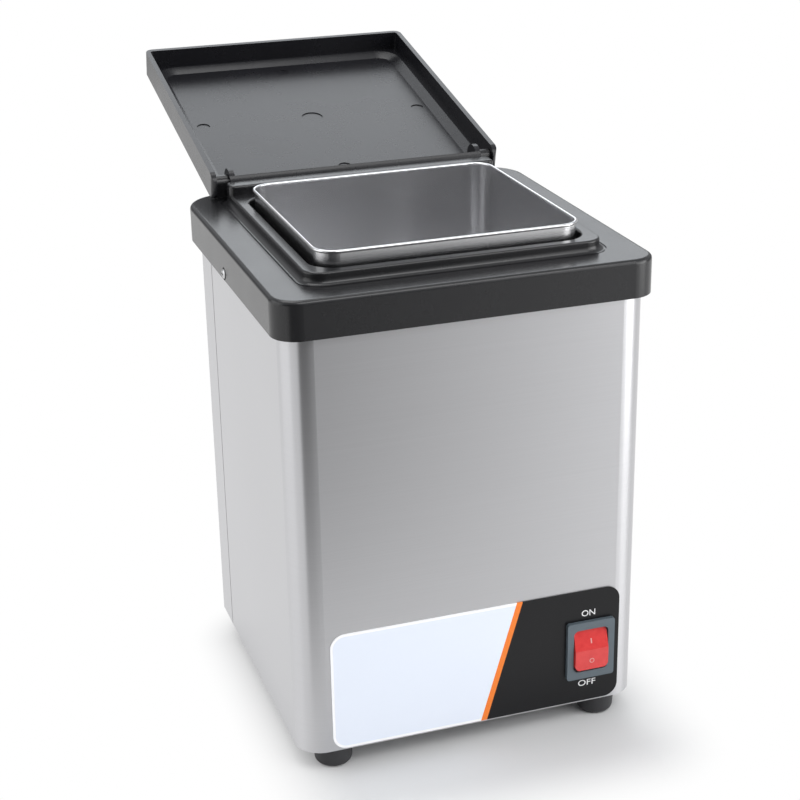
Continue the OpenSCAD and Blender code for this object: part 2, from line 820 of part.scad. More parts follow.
// Room for a countersunk screw and its thread
module flat_screw_hole() {
    head_d = 2 * block_screw_d;
    translate([0, 0, -block_screw_l - 0.5])
        cylinder(d = block_screw_d + thread_gap, h = block_screw_l + 1);
    translate([0, 0, -head_d / 4 - thread_gap])
        cylinder(d1 = block_screw_d, d2 = head_d + 2 * thread_gap, h = head_d / 4 + thread_gap);
}

module cold_block() color("lightgray")
    difference() {
        translate([0, well_y, block_z]) post(block_w, block_w, block_h);
        at_block_screws() flat_screw_hole();
        at_sink_screws() translate([0, 0, block_z - 1])
            cylinder(d = sink_screw_d + thread_gap, h = block_h / 2 + 2);
    }

module block_screws() color("gainsboro")
    at_block_screws() flat_screw(block_screw_d, block_screw_l);

// Two ceramic plates with rows of semiconductor pellets between them
module thermoelectric_module() color("white")
    translate([0, well_y, module_z]) {
        pitch = module_w / pellets;
        for (z = [0, module_t - ceramic_t]) translate([0, 0, z])
            post(module_w, module_w, ceramic_t);
        for (i = [0:pellets - 1], j = [0:pellets - 1])
            translate([(i + 0.5) * pitch - module_w / 2, (j + 0.5) * pitch - module_w / 2, 0])
                post(pellet_w, pellet_w, module_t);
    }

module module_gasket() color("dimgray")
    difference() {
        translate([0, well_y, module_z + slip_gap]) difference() {
            post(block_w, block_w, module_t - 2 * slip_gap);
            translate([0, 0, -1]) post(module_w + 1, module_w + 1, module_t + 2);
        }
        at_sink_screws() translate([0, 0, module_z - 1])
            cylinder(d = sink_screw_d + 2 * slip_gap, h = module_t + 2);
    }

module heat_sink() color("silver")
    difference() {
        translate([0, well_y, fin_z]) {
            translate([0, 0, fin_h]) post(sink_w, fin_l, sink_t);
            for (i = [-half_fins:half_fins]) translate([i * fin_pitch, 0, 0])
                post(fin_t, fin_l, fin_h + 1);
        }
        at_sink_screws() translate([0, 0, sink_z - 1])
            cylinder(d = sink_screw_d + slip_gap, h = sink_t + 2);
    }

module sink_screws() color("gainsboro")
    at_sink_screws() translate([0, 0, sink_z]) rotate([180, 0, 0])
        screw(sink_screw_d, sink_t + module_t + block_h / 2);

module at_fan_screws() translate([0, well_y, 0]) at_corners(fan_holes, fan_holes) children();

module fan_frame() color([0.15, 0.15, 0.15])
    difference() {
        translate([0, well_y, fan_z]) {
            difference() {
                slab(fan_size, fan_size, 5, fan_t);
                translate([0, 0, -1]) cylinder(r = fan_bore_r, h = fan_t + 2, $fn = 96);
            }
            cylinder(r = fan_hub_r, h = fan_plate_t);
            cylinder(d = fan_post_d, h = fan_t - 7);
            for (turn = [45:90:315]) rotate(turn)
                translate([fan_hub_r - 1, -fan_strut_w / 2, 0])
                    cube([fan_bore_r - fan_hub_r + 2, fan_strut_w, fan_plate_t]);
        }
        at_fan_screws() translate([0, 0, fan_z - 1])
            cylinder(d = fan_screw_d + 2 * slip_gap, h = fan_t + 2);
    }

// The rotor runs on the post of the fan frame
module fan_rotor() color([0.2, 0.2, 0.2])
    translate([0, well_y, fan_z + fan_plate_t + 1]) difference() {
        union() {
            cylinder(r = fan_hub_r - 0.5, h = blade_h);
            intersection() {
                cylinder(r = fan_bore_r - fan_tip_gap, h = blade_h);
                for (i = [0:fan_blades - 1]) rotate(360 * i / fan_blades)
                    translate([fan_hub_r - 3, 0, blade_h / 2]) rotate([blade_pitch, 0, 0])
                        translate([0, -blade_t / 2, -fan_t])
                            cube([fan_bore_r - fan_hub_r + 3, blade_t, 2 * fan_t]);
            }
        }
        translate([0, 0, -1]) cylinder(d = fan_post_d + 2 * fan_fit, h = blade_h - 1);
    }

module fan_screws() color("gainsboro")
    at_fan_screws() translate([0, 0, fan_z]) rotate([180, 0, 0])
        screw(fan_screw_d, fan_t + fan_screw_grip);

module at_supply_screws()
    translate([supply_x, supply_y, 0])
        at_corners(supply_w - 2 * supply_t - 2 * post_inset, supply_l - 2 * post_inset) children();

// Folded tray with two side walls and a hollow post under each corner of the board
module supply_tray() color("lightgray")
    difference() {
        union() {
            translate([supply_x, supply_y, base_top_z]) {
                post(supply_w, supply_l, supply_t);
                mirrored() translate([supply_w / 2 - supply_t, -supply_l / 2, 0])
                    cube([supply_t, supply_l, supply_h]);
            }
            at_supply_screws() translate([0, 0, base_top_z])
                cylinder(d = post_d, h = supply_t + post_h);
        }
        at_supply_screws() translate([0, 0, base_top_z - 1])
            cylinder(d = supply_screw_d + slip_gap, h = supply_t + post_h + 2);
        for (i = [-2:2]) translate([supply_x, supply_y + 11 * i, base_top_z + 0.68 * supply_h])
            rotate([90, 0, 90]) translate([0, 0, -supply_w])
                linear_extrude(2 * supply_w) rotate(90) slot(14, 4);
    }

// A part on the supply's board, sunk a little into it
module on_board(place) translate([place[0], place[1], board_t / 2]) children();

// Circuit board with its transformer, capacitors, cooling plate and terminal block
module supply_board() color("seagreen")
    difference() {
        translate([supply_x, supply_y, board_z]) {
            post(supply_w - 2 * supply_t - 2 * slip_gap, supply_l, board_t);
            on_board(core_at) {
                post(core[0], core[1], core[2]);
                post(winding[0], winding[1], winding[2]);
            }
            for (place = capacitors_at)
                on_board(place) cylinder(d = capacitor_d, h = capacitor_h);
            on_board(cooler_at) {
                post(cooler[0], cooler[1], cooler[2]);
                for (i = [-1:1]) translate([(cooler[0] + transistor[0]) / 2 - 0.5, 0, 0])
                    translate([0, i * transistor_pitch, 0])
                        post(transistor[0], transistor[1], transistor[2]);
            }
            on_board(filter_at) post(filter_coil[0], filter_coil[1], filter_coil[2]);
            on_board(output_at) post(output_coil[0], output_coil[1], output_coil[2]);
            for (i = [-2:2]) on_board(terminals_at)
                translate([i * terminal_pitch, 0, 0]) cylinder(d = terminal_d, h = terminal_h);
        }
        at_supply_screws() translate([0, 0, board_z - 1])
            cylinder(d = supply_screw_d + slip_gap, h = board_t + 2);
    }

module supply_screws() color("gainsboro")
    at_supply_screws() translate([0, 0, board_z + board_t])
        screw(supply_screw_d, board_t + post_h + supply_t + base_t);

// Outline of the inlet's plug body, with two corners cut off
module inlet_outline(w, h)
    polygon([[-w / 2, -h / 2], [w / 2, -h / 2], [w / 2, h / 2 - inlet_chamfer],
        [w / 2 - inlet_chamfer, h / 2], [-w / 2 + inlet_chamfer, h / 2],
        [-w / 2, h / 2 - inlet_chamfer]]);

module power_inlet() color([0.12, 0.12, 0.12])
    translate([inlet_x, body_d / 2, inlet_z]) rotate([90, 0, 0]) difference() {
        union() {
            translate([0, 0, -inlet_flange_t])
                slab(inlet_flange_w, inlet_flange_h, 4, inlet_flange_t);
            linear_extrude(inlet_d) inlet_outline(inlet_w, inlet_h);
        }
        difference() {
            translate([0, 0, -inlet_flange_t - 1])
                linear_extrude(inlet_flange_t + 1 + inlet_d - inlet_wall)
                    inlet_outline(inlet_w - 2 * inlet_wall, inlet_h - 2 * inlet_wall);
            for (p = [[-7, -2], [7, -2], [0, 2]])
                translate([p[0], p[1], inlet_d - inlet_wall - inlet_pin[2]])
                    post(inlet_pin[0], inlet_pin[1], inlet_pin[2] + 1);
        }
        for (s = [-1, 1]) translate([s * inlet_screw_x, 0, -inlet_flange_t - 1])
            cylinder(d = inlet_screw_d + slip_gap, h = inlet_flange_t + 2);
    }

module inlet_screws() color("gainsboro")
    for (s = [-1, 1])
        translate([inlet_x + s * inlet_screw_x, body_d / 2 + inlet_flange_t, inlet_z])
            rotate([-90, 0, 0]) screw(inlet_screw_d, inlet_flange_t + sheet_t + screw_end);

// Places a piece of the switch, with its z pointing out of the front of the housing
module at_switch()
    translate([switch_x, -body_d / 2 - plate_t, base_z + switch_z]) rotate([90, 0, 0]) children();

module switch_body() color("slategray")
    at_switch() difference() {
        union() {
            slab(switch_w, switch_h, 1.5, switch_t);
            translate([0, 0, -switch_d])
                post(switch_cut_w - 2 * slip_gap, switch_cut_h - 2 * slip_gap, switch_d + 1);
        }
        translate([0, 0, switch_t - rocker_axis - 2])
            slab(rocker_w + 2 * rocker_gap, rocker_h + 4 * rocker_gap, rocker_r, switch_t + 6);
        translate([0, 0, switch_t - rocker_axis - rocker_back - 4])
            post(rocker_stem_w + 2 * rocker_gap, rocker_h - 6, rocker_back + 8);
        translate([0, 0, switch_t - rocker_axis]) rotate([0, 90, 0])
            cylinder(d = rocker_pin_d + 2 * fan_fit, h = switch_cut_w - 1.6, center = true);
    }

// The rocker is drawn with its upper half pressed in
module rocker() color("red")
    at_switch() translate([0, 0, switch_t - rocker_axis]) rotate([-rocker_throw / 2, 0, 0]) {
        tip = rocker_face - rocker_h / 2 * tan(rocker_throw / 2);
        intersection() {
            rotate([90, 0, 90]) translate([0, 0, -rocker_w / 2]) linear_extrude(rocker_w)
                polygon([[0, rocker_face], [rocker_h / 2, tip], [rocker_h / 2, tip - 2.4],
                    [4, 0], [-4, 0], [-rocker_h / 2, tip - 2.4], [-rocker_h / 2, tip]]);
            slab(rocker_w, rocker_h, rocker_r, rocker_face + 1);
        }
        translate([0, 0, -rocker_back]) post(rocker_stem_w, 7, rocker_back + 1);
        rotate([0, 90, 0]) cylinder(d = rocker_pin_d, h = switch_cut_w - 2, center = true);
    }

module switch_terminals() color("goldenrod")
    at_switch() for (x = [-5, 5], y = [-6, 6])
        translate([x, y, -switch_d - blade_l]) post(blade_thick, blade_w, blade_l);

module control_plate() color("whitesmoke")
    difference() {
        translate([plate_x, -body_d / 2, base_z + plate_z + plate_h / 2]) rotate([90, 0, 0])
            slab(plate_w, plate_h, plate_r, plate_t);
        at_switch() translate([0, 0, -plate_t - 1])
            post(switch_cut_w, switch_cut_h, plate_t + 2);
    }

// Side view of the closed lid. Its rear edge is a barrel round the hinge axis, so that it clears
// the deck and the rail when the lid swings.
module lid_side(r) {
    circle(r);
    translate([-lid_len - 1, lid_lip - 1]) square([lid_len + 1, lid_top - lid_lip + 1]);
}

module lid_shell() {
    length = lid_len + lid_top;
    intersection() {
        translate([0, lid_top - length / 2, lid_lip]) {
            sweep_round(lid_w, length, lid_r) {
                square([lid_r, lid_h - lid_edge_r]);
                square([lid_r - lid_edge_r, lid_h]);
                translate([lid_r - lid_edge_r, lid_h - lid_edge_r]) circle(lid_edge_r);
            }
            post(lid_w - 2 * lid_r, length - 2 * lid_r, lid_h);
        }
        along_x(-lid_w, lid_w) lid_side(lid_top);
    }
}

// Hollow of the lid: a straight recess inside the skirt, then a panel with sloping edges
module lid_hollow() {
    rear = lid_top - lid_wall;
    length = lid_len - lid_wall + rear;
    recess_h = lid_h - border_t;
    intersection() {
        translate([0, rear - length / 2, lid_lip - 1])
            slab(lid_w - 2 * lid_wall, length, max(lid_r - lid_wall, 1), recess_h + 1);
        along_x(-lid_w, lid_w) {
            lid_side(rear);
            polygon([[-1, 0], [0, 0], lid_h * [cos(barrel_end), -sin(barrel_end)], [-1, -lid_h]]);
        }
    }
    panel_w = lid_w - 2 * (lid_wall + border_w);
    panel_l = lid_len - lid_wall - border_w - 2;
    panel_h = border_t - roof_t;
    translate([0, -panel_l / 2 - 2, lid_lip + recess_h]) {
        sweep_round(panel_w, panel_l, panel_r)
            polygon([[0, -0.5], [panel_r, -0.5], [panel_r, 0],
                [panel_r - slope_w, panel_h], [0, panel_h]]);
        translate([0, 0, -0.5])
            post(panel_w - 2 * panel_r, panel_l - 2 * panel_r, panel_h + 0.5);
        cylinder(d = gate_dia, h = panel_h + mark_t);
        for (p = [[mark_x, 0], [-mark_x, 0], [0, mark_y], [0, -mark_y]])
            translate([p[0], p[1], 0]) cylinder(d = mark_dia, h = panel_h + mark_t);
    }
}

module lid() color([0.16, 0.16, 0.17])
    translate([0, hinge_y, hinge_z]) rotate([-lid_open, 0, 0]) difference() {
        union() {
            difference() {
                lid_shell();
                lid_hollow();
            }
            mirrored() intersection() {
                along_x(web_x0, web_x1) circle(lid_top);
                translate([0, -lid_top, lid_lip]) cube([lid_w, 2 * lid_top, lid_h]);
            }
        }
        mirrored() translate([web_x1, -notch_l, lid_lip - 1])
            cube([ear_w + 2 * ear_gap, notch_l + lid_top + 1, lid_h + 2]);
        mirrored() translate([web_x0 - 1, 0, 0]) rotate([0, 90, 0])
            cylinder(d = pin_dia + 2 * pin_fit, h = pin_x1 - web_x0 + 1);
    }

module hinge_pin() color("gainsboro")
    translate([0, hinge_y, hinge_z]) rotate([0, 90, 0])
        translate([0, 0, web_x0]) cylinder(d = pin_dia, h = pin_x1 - slip_gap - web_x0);

module hinge_pin_right() hinge_pin();
module hinge_pin_left() mirror([1, 0, 0]) hinge_pin();

housing_wrap();
rear_cover();
cover_screws();
base_plate();
foot_front_left();
foot_front_right();
foot_rear_left();
foot_rear_right();
foot_screws();
foot_nuts();
top_bezel();
bezel_screws();
well_gasket();
cold_well();
well_screws();
garnish_pan();
foam_jacket();
cold_block();
block_screws();
thermoelectric_module();
module_gasket();
heat_sink();
sink_screws();
fan_frame();
fan_rotor();
fan_screws();
supply_tray();
supply_board();
supply_screws();
power_inlet();
inlet_screws();
switch_body();
rocker();
switch_terminals();
control_plate();
lid();
hinge_pin_left();
hinge_pin_right();
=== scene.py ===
"""Looks of the countertop garnish chiller: surfaces, lettering, floor, light and camera."""

import json
import math

import bpy
from mathutils import Matrix, Vector
from mathutils.bvhtree import BVHTree


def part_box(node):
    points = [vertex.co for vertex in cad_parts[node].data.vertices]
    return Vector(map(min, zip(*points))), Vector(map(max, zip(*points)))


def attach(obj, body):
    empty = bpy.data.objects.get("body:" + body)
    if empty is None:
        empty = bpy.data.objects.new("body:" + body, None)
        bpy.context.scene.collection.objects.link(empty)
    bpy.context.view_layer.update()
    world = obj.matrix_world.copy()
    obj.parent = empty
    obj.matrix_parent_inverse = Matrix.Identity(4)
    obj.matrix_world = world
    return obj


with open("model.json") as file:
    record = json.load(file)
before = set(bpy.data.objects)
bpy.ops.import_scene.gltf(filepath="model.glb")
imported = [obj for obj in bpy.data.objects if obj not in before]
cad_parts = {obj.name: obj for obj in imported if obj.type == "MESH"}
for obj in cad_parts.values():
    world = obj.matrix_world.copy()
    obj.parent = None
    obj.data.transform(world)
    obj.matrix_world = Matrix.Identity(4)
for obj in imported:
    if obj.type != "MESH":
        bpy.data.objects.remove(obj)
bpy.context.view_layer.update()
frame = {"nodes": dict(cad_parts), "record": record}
nodes = frame["nodes"]
slot_of = {row["node"]: row["material_slot"] for row in frame["record"]["subparts"]}

MM = 0.001

# Numbers of the sockets that carry a Mix node's colours
MIX_A = 6
MIX_B = 7
MIX_RESULT = 2

# The middle plane of flat letters lies this far in front of the face that carries them
LETTER_LIFT = 0.04 * MM


# Shader helpers


class NodeTree:
    """Short spelling for a tree of shader nodes. What an input takes is a value or a socket."""

    def __init__(self, tree):
        self.tree = tree

    def feed(self, socket, value):
        if isinstance(value, bpy.types.NodeSocket):
            self.tree.links.new(value, socket)
        elif socket.type == "RGBA":
            socket.default_value = (*value, 1.0)
        else:
            socket.default_value = value

    def node(self, kind, inputs=(), **settings):
        """New node. inputs pairs the name or number of each socket with what it takes."""
        node = self.tree.nodes.new(kind)
        for key, value in settings.items():
            setattr(node, key, value)
        for key, value in dict(inputs).items():
            self.feed(node.inputs[key], value)
        return node

    def math(self, operation, *values):
        return self.node("ShaderNodeMath", enumerate(values), operation=operation).outputs["Value"]

    def vector(self, operation, *values):
        """Result of a vector operation, which for a length or a dot product is a number."""
        node = self.node("ShaderNodeVectorMath", enumerate(values), operation=operation)
        return node.outputs["Value" if operation in ("LENGTH", "DOT_PRODUCT") else "Vector"]

    def split(self, source):
        """The outputs X, Y and Z of a vector."""
        return self.node("ShaderNodeSeparateXYZ", {"Vector": source}).outputs

    def remap(self, source, span, levels, interpolation="LINEAR"):
        """Number that goes from one level to the other over the span of source, held beyond it."""
        names = ("Value", "From Min", "From Max", "To Min", "To Max")
        inputs = zip(names, (source, *span, *levels))
        node = self.node("ShaderNodeMapRange", inputs, interpolation_type=interpolation)
        return node.outputs["Result"]

    def ramp(self, source, span, levels):
        """The same, with a smooth start and end."""
        return self.remap(source, span, levels, "SMOOTHSTEP")

    def mix_colors(self, factor, first, second):
        inputs = {"Factor": factor, MIX_A: first, MIX_B: second}
        return self.node("ShaderNodeMix", inputs, data_type="RGBA").outputs[MIX_RESULT]

    def mix_shaders(self, factor, first, second):
        return self.node("ShaderNodeMixShader", enumerate((factor, first, second))).outputs["Shader"]


class Shader(NodeTree):
    """A principled material whose textures run in the object's own coordinates."""

    def __init__(self, name, metallic=0.0, specular=0.5):
        self.material = bpy.data.materials.new(name)
        self.material.use_nodes = True
        super().__init__(self.material.node_tree)
        self.bsdf = self.tree.nodes["Principled BSDF"]
        self.set("Metallic", metallic)
        self.set("Specular IOR Level", specular)
        self.coordinates = self.node("ShaderNodeTexCoord").outputs["Object"]

    def set(self, name, value):
        self.feed(self.bsdf.inputs[name], value)

    def noise(self, scale, stretch=(1, 1, 1), detail=3.0, roughness=0.5):
        """Noise whose cells are stretch times as dense along each axis."""
        dense = [scale * share for share in stretch]
        mapping = self.node("ShaderNodeMapping", {"Vector": self.coordinates, "Scale": dense})
        texture = self.node("ShaderNodeTexNoise", {
            "Vector": mapping.outputs["Vector"],
            "Scale": 1.0,
            "Detail": detail,
            "Roughness": roughness,
        })
        return texture.outputs["Fac"]

    def cells(self, scale):
        """Distance to the nearest point of a random pattern."""
        inputs = {"Vector": self.coordinates, "Scale": scale}
        return self.node("ShaderNodeTexVoronoi", inputs).outputs["Distance"]

    def bump(self, height, depth):
        """Bump of the given depth in metres."""
        node = self.node("ShaderNodeBump", {"Strength": 1.0, "Distance": depth, "Height": height})
        self.set("Normal", node.outputs["Normal"])


def shaded(color, share):
    """The colour made darker, or lighter where share is above 1."""
    return tuple(share * channel for channel in color)


def around(middle, spread):
    return (middle - spread, middle + spread)


def brushed(name, color, roughness, grain, anisotropy=0.85):
    """Brushed sheet. grain gives how dense the brushing is along each axis."""
    quarter_turn = 0.25
    fine_share = 0.08
    broad_share = 0.04
    steel = Shader(name, metallic=1.0)
    steel.set("Anisotropic", anisotropy)
    steel.set("Anisotropic Rotation", quarter_turn)
    tangent = steel.node("ShaderNodeTangent", direction_type="RADIAL", axis="Z")
    steel.set("Tangent", tangent.outputs["Tangent"])
    fine = steel.noise(1.0, grain, detail=4.0, roughness=0.65)
    broad = steel.noise(9.0, detail=2.0)
    streaks = steel.remap(fine, span=(0.3, 0.7), levels=(0.0, 1.0))
    steel.set("Base Color", steel.mix_colors(streaks, shaded(color, 0.95), color))

    # Both noises have their mean at a half, so the roughness given is kept on average
    dullness = steel.math("ADD", steel.math("MULTIPLY", fine, fine_share),
                          steel.math("MULTIPLY", broad, broad_share))
    least = roughness - (fine_share + broad_share) / 2
    steel.set("Roughness", steel.math("ADD", dullness, least))
    steel.bump(fine, depth=0.002 * MM)
    return steel.material


def moulded(name, color, roughness, grain, depth, specular=0.5):
    """Moulded plastic with a fine spark-eroded grain and faint handling marks."""
    plastic = Shader(name, specular=specular)
    marks = plastic.noise(38.0, detail=5.0, roughness=0.6)
    plastic.set("Base Color", plastic.mix_colors(marks, color, shaded(color, 1.3)))
    plastic.set("Roughness", plastic.remap(marks, span=(0.2, 0.8), levels=around(roughness, 0.02)))
    plastic.bump(plastic.cells(1.0 / grain), depth)
    return plastic.material


def grained(name, color, roughness, metallic=0.0, scale=300.0, depth=0.01 * MM):
    """Plain surface with a light grain, for inner pieces, fasteners and ink."""
    shader = Shader(name, metallic=metallic)
    grain = shader.noise(scale, detail=4.0)
    shader.set("Base Color", shader.mix_colors(grain, shaded(color, 0.82), color))
    shader.set("Roughness", shader.remap(grain, span=(0.3, 0.7), levels=around(roughness, 0.06)))
    shader.bump(grain, depth)
    return shader.material


# Surfaces of the slots in the record


def brushed_steel():
    return brushed("brushed_steel", (0.61, 0.61, 0.625), 0.32, grain=(8, 8, 4200))


def pan_steel():
    return brushed("pan_steel", (0.80, 0.80, 0.81), 0.22, grain=(14, 14, 900), anisotropy=0.3)


def screw_steel():
    return grained("screw_steel", (0.62, 0.62, 0.63), 0.28, metallic=1.0)


def pin_steel():
    return grained("pin_steel", (0.70, 0.70, 0.71), 0.18, metallic=1.0)


def plated_steel():
    """Zinc plated sheet with its spangle."""
    sheet = Shader("plated_steel", metallic=1.0)
    spangle = sheet.cells(160.0)
    sheet.set("Base Color", sheet.mix_colors(spangle, (0.54, 0.55, 0.58), (0.68, 0.69, 0.70)))
    sheet.set("Roughness", sheet.remap(spangle, span=(0.0, 1.0), levels=(0.32, 0.50)))
    return sheet.material


def foot_rubber():
    return moulded("foot_rubber", (0.022, 0.022, 0.024), 0.55, grain=0.5 * MM, depth=0.02 * MM)


def bezel_plastic():
    return moulded("bezel_plastic", (0.012, 0.012, 0.013), 0.25, grain=0.45 * MM, depth=0.006 * MM)


def lid_plastic():
    return moulded("lid_plastic", (0.009, 0.009, 0.011), 0.27, grain=0.45 * MM, depth=0.006 * MM,
                   specular=0.42)


def seal_rubber():
    return grained("seal_rubber", (0.030, 0.030, 0.032), 0.85, scale=900.0, depth=0.06 * MM)


def well_aluminium():
    return grained("well_aluminium", (0.74, 0.75, 0.77), 0.36, metallic=1.0, scale=120.0)


def block_aluminium():
    return grained("block_aluminium", (0.72, 0.73, 0.75), 0.33, metallic=1.0, scale=220.0)


def insulation_foam():
    return grained("insulation_foam", (0.80, 0.70, 0.45), 0.95, scale=420.0, depth=0.4 * MM)


def module_ceramic():
    return grained("module_ceramic", (0.88, 0.88, 0.85), 0.45)


def fan_plastic():
    return moulded("fan_plastic", (0.020, 0.020, 0.022), 0.36, grain=0.6 * MM, depth=0.008 * MM)


def circuit_board():
    """Green laminate below, darker bodies of the components above."""
    laminate_t = 1.8 * MM
    board = Shader("circuit_board")
    laminate_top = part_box("supply_board")[0].z + laminate_t
    above = board.math("GREATER_THAN", board.split(board.coordinates)["Z"], laminate_top)
    traces = board.remap(board.cells(240.0), span=(0.2, 0.5), levels=(0.0, 1.0))
    laminate = board.mix_colors(traces, (0.02, 0.13, 0.06), (0.05, 0.26, 0.12))
    board.set("Base Color", board.mix_colors(above, laminate, (0.05, 0.05, 0.06)))
    board.set("Roughness", 0.35)
    return board.material


def inlet_plastic():
    return moulded("inlet_plastic", (0.022, 0.022, 0.023), 0.34, grain=0.6 * MM, depth=0.006 * MM)


def switch_plastic():
    return moulded("switch_plastic", (0.085, 0.108, 0.125), 0.34, grain=0.35 * MM, depth=0.004 * MM)


def rocker_red():
    """Cloudy red plastic under a gloss coat, with a faint glow from the lamp inside."""
    red = Shader("rocker_red")
    cloud = red.noise(260.0)
    red.set("Base Color", red.mix_colors(cloud, (0.50, 0.012, 0.014), (0.68, 0.045, 0.042)))
    red.set("Roughness", 0.22)
    red.set("Coat Weight", 0.5)
    red.set("Coat Roughness", 0.08)
    red.set("Emission Color", (1.0, 0.06, 0.04))
    red.set("Emission Strength", 0.06)
    return red.material


def terminal_brass():
    return grained("terminal_brass", (0.72, 0.56, 0.26), 0.30, metallic=1.0)


def edge_border(tree, x, z, half, corner_r, border_w):
    """1 on the border along the edges of a rounded rectangle about the origin, 0 elsewhere."""
    # Distance from the rectangle whose sides lie corner_r inside those edges
    out_x = tree.math("SUBTRACT", tree.math("ABSOLUTE", x), half.x - corner_r)
    out_z = tree.math("SUBTRACT", tree.math("ABSOLUTE", z), half.z - corner_r)
    beyond_x = tree.math("MAXIMUM", out_x, 0.0)
    beyond_z = tree.math("MAXIMUM", out_z, 0.0)
    squares = tree.math("ADD", tree.math("MULTIPLY", beyond_x, beyond_x),
                        tree.math("MULTIPLY", beyond_z, beyond_z))
    inner = tree.math("MINIMUM", tree.math("MAXIMUM", out_x, out_z), 0.0)
    distance = tree.math("ADD", tree.math("SQRT", squares), inner)
    return tree.math("GREATER_THAN", distance, corner_r - border_w)


def plate_print():
    """Printed plate: a pale field with a white border, an orange stripe and a black field."""
    pale = (0.80, 0.85, 0.94)
    white = (0.97, 0.97, 0.98)
    orange = (0.90, 0.22, 0.03)
    black = (0.006, 0.006, 0.007)
    stripe_x = 16.0 * MM
    stripe_w = 3.4 * MM
    stripe_lean = 0.30
    low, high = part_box("control_plate")
    center = (low + high) / 2
    plate = Shader("plate_print", specular=0.3)
    place = plate.split(plate.coordinates)
    x = plate.math("SUBTRACT", place["X"], center.x)
    z = plate.math("SUBTRACT", place["Z"], center.z)
    border = edge_border(plate, x, z, (high - low) / 2, corner_r=8.0 * MM, border_w=1.4 * MM)

    # The stripe leans to the right as it rises, and the black field is to its right
    lean = plate.math("MULTIPLY", z, stripe_lean)
    along = plate.math("SUBTRACT", plate.math("SUBTRACT", x, lean), stripe_x - center.x)
    past_start = plate.math("GREATER_THAN", along, -stripe_w / 2)
    past_end = plate.math("GREATER_THAN", along, stripe_w / 2)
    field = plate.mix_colors(border, pale, white)
    striped = plate.mix_colors(past_start, field, orange)
    plate.set("Base Color", plate.mix_colors(past_end, striped, black))
    plate.set("Roughness", 0.28)
    return plate.material


def ink_white():
    return grained("ink_white", (0.90, 0.90, 0.90), 0.4, scale=2500.0, depth=0.004 * MM)


def mark_pink():
    return grained("mark_pink", (0.80, 0.42, 0.40), 0.4, scale=2500.0, depth=0.004 * MM)


def apply_materials():
    makers = (
        brushed_steel, pan_steel, screw_steel, pin_steel, plated_steel, foot_rubber,
        bezel_plastic, lid_plastic, seal_rubber, well_aluminium, block_aluminium,
        insulation_foam, module_ceramic, fan_plastic, circuit_board, inlet_plastic,
        switch_plastic, rocker_red, terminal_brass, plate_print,
    )
    made = {maker.__name__: maker() for maker in makers}
    for name, node in nodes.items():
        for slot in node.material_slots:
            slot.material = made[slot_of[name]]


# Lettering


def text_mesh(name, text, depth):
    """Mesh of a text at font size 1, which goes depth to either side of its plane."""
    curve = bpy.data.curves.new(name, "FONT")
    curve.body = text
    curve.extrude = depth
    curve.align_x = "CENTER"
    font = bpy.data.objects.new(name + "_font", curve)
    bpy.context.scene.collection.objects.link(font)
    evaluated = font.evaluated_get(bpy.context.evaluated_depsgraph_get())
    mesh = bpy.data.meshes.new_from_object(evaluated)
    bpy.data.objects.remove(font)
    return mesh


def lettering(name, text, width, height, place, turn, body, ink):
    """Flat letters of the given width and height over all, with their middle at place."""
    mesh = text_mesh(name, text, depth=0.02)
    xs = [vertex.co.x for vertex in mesh.vertices]
    ys = [vertex.co.y for vertex in mesh.vertices]
    size = Vector((max(xs) - min(xs), max(ys) - min(ys)))
    mid = Vector((max(xs) + min(xs), max(ys) + min(ys))) / 2
    scale = Matrix.Diagonal((width / size.x, height / size.y, height, 1.0))
    mesh.transform(turn @ scale @ Matrix.Translation((-mid.x, -mid.y, 0.0)))
    mesh.transform(Matrix.Translation(place))
    mesh.materials.append(ink)
    piece = bpy.data.objects.new(name, mesh)
    bpy.context.scene.collection.objects.link(piece)
    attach(piece, body)


def rocker_marks(ink):
    """I on the upper and O on the lower half of the rocker, flat on its face."""
    mark_h = 2.8 * MM
    bar_w = 0.7 * MM
    ring_w = 2.8 * MM
    on_share = 0.72
    off_share = 0.24
    rocker = nodes["rocker"].data
    faces = [tuple(polygon.vertices) for polygon in rocker.polygons]
    surface = BVHTree.FromPolygons([vertex.co for vertex in rocker.vertices], faces)
    low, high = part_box("rocker")
    x = (low.x + high.x) / 2
    in_front = low.y - 50 * MM
    backward = Vector((0.0, 1.0, 0.0))
    for name, text, width, share in (
        ("mark_on", "I", bar_w, on_share),
        ("mark_off", "O", ring_w, off_share),
    ):
        start = Vector((x, in_front, low.z + share * (high.z - low.z)))
        hit, normal = surface.ray_cast(start, backward)[:2]
        turn = normal.to_track_quat("Z", "Y").to_matrix().to_4x4()
        place = hit + LETTER_LIFT * normal
        lettering(name, text, width, mark_h, place, turn, "rocker", ink)


def switch_words(ink):
    """ON above and OFF below the switch, on the plate's face."""
    word_h = 3.6 * MM
    on_w = 8.0 * MM
    off_w = 10.4 * MM
    on_gap = 4.6 * MM
    off_gap = 4.2 * MM
    shift_left = 1.0 * MM
    upright = Matrix.Rotation(math.radians(90), 4, "X")
    low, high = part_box("switch_body")
    x = (low.x + high.x) / 2 - shift_left
    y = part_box("control_plate")[0].y - LETTER_LIFT
    for name, text, width, z in (
        ("word_on", "ON", on_w, high.z + on_gap),
        ("word_off", "OFF", off_w, low.z - off_gap),
    ):
        lettering(name, text, width, word_h, (x, y, z), upright, "cabinet", ink)


# Stage, light and camera


def bare_tree(owner):
    """The node tree of a material or world, emptied."""
    owner.use_nodes = True
    owner.node_tree.nodes.clear()
    return NodeTree(owner.node_tree)


